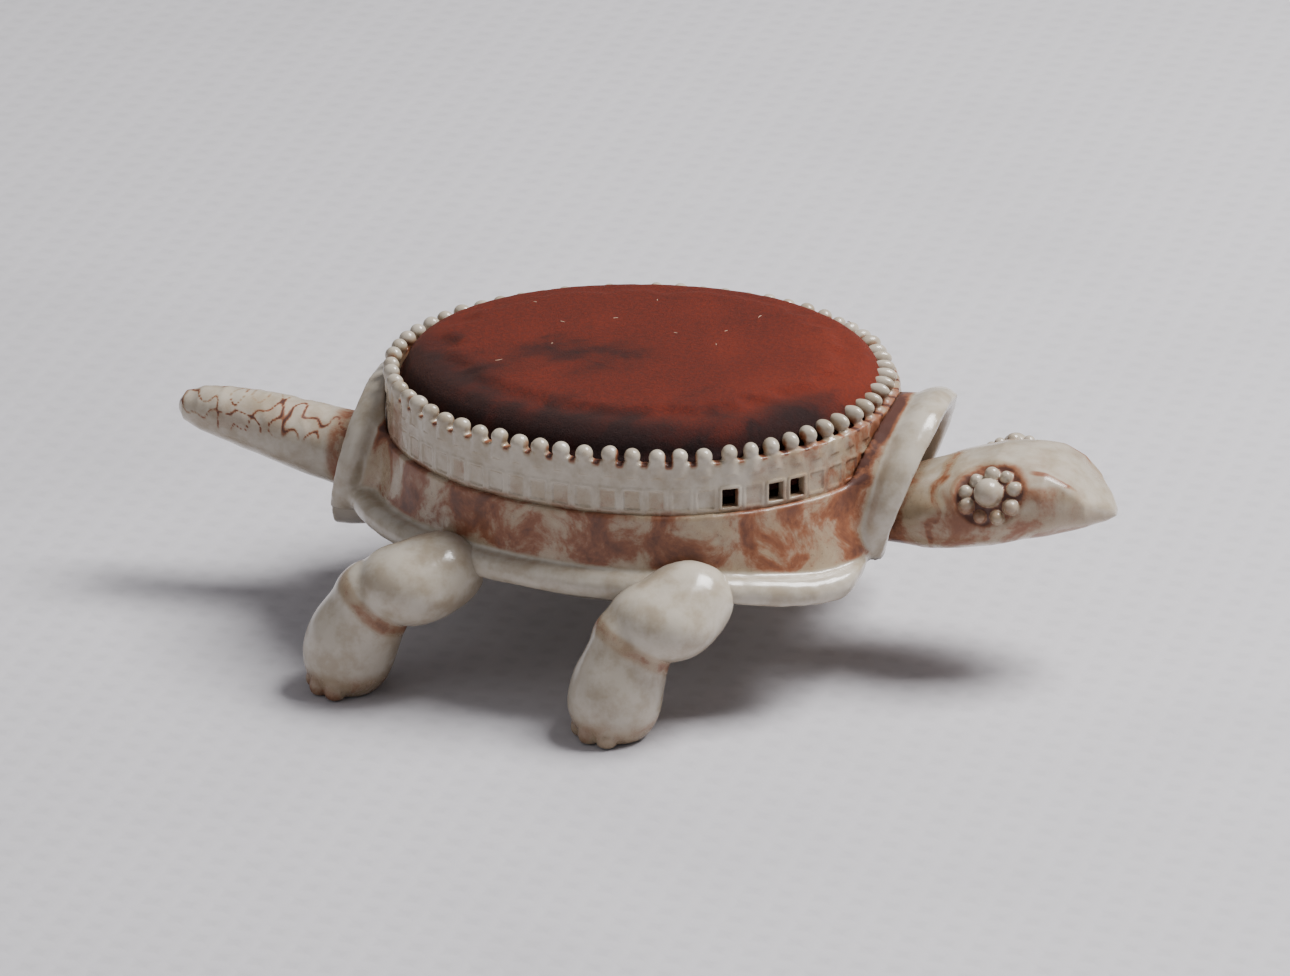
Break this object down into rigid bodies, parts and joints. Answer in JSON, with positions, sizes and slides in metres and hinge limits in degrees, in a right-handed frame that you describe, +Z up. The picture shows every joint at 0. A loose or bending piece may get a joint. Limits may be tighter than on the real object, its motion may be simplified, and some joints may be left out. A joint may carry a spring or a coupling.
{
  "type": "pin cushion",
  "caption": "Turtle-shaped metal pin cushion: enamelled cast shell on four legs, velvet cushion in a pronged gallery, and a balanced head and tail that nod and sway.",
  "frame": {"origin": "on the table, midway between the beak and the tail's tip and on the mirror plane", "axes": "+X towards the head, +Y to the turtle's left, +Z up"},
  "size_m": [0.0968, 0.0666, 0.0294],
  "materials": {
    "shell_enamel": "gloss",
    "leg_enamel": "gloss",
    "gallery_enamel": "gloss",
    "head_enamel": "gloss",
    "tail_enamel": "gloss",
    "velvet": "matte",
    "filling": "matte",
    "board": "matte",
    "counterweight_metal": "satin",
    "yoke_steel": "satin",
    "swivel_steel": "satin"
  },
  "bodies": {
    "root": {"shell_casting": "shell_enamel", "belly_plate": "shell_enamel", "leg_front_right": "leg_enamel", "leg_front_left": "leg_enamel", "leg_rear_right": "leg_enamel", "leg_rear_left": "leg_enamel", "gallery_band": "gallery_enamel", "cushion_board": "board", "cushion_filling": "filling", "cushion_velvet": "velvet", "swivel_washers": "swivel_steel"},
    "head_swivel": {"head_swivel_eye": "swivel_steel"},
    "head": {"head_casting": "head_enamel", "head_yoke": "yoke_steel", "head_weight": "counterweight_metal", "head_pivot_pin": "yoke_steel"},
    "tail_swivel": {"tail_swivel_eye": "swivel_steel"},
    "tail": {"tail_casting": "tail_enamel", "tail_yoke": "yoke_steel", "tail_weight": "counterweight_metal", "tail_pivot_pin": "yoke_steel"}
  },
  "joints": [
    {"name": "head_sway", "type": "hinge", "parent": "root", "child": "head_swivel", "pos_m": [0.0202, 0, 0.0164], "axis": [0, 0, 1], "range_deg": [-6, 6]},
    {"name": "head_nod", "type": "hinge", "parent": "head_swivel", "child": "head", "pos_m": [0.0202, 0, 0.0164], "axis": [0, -1, 0], "range_deg": [-5, 6]},
    {"name": "tail_sway", "type": "hinge", "parent": "root", "child": "tail_swivel", "pos_m": [-0.0202, 0, 0.0164], "axis": [0, 0, 1], "range_deg": [-6, 6]},
    {"name": "tail_nod", "type": "hinge", "parent": "tail_swivel", "child": "tail", "pos_m": [-0.0202, 0, 0.0164], "axis": [0, 1, 0], "range_deg": [-5, 6]}
  ]
}
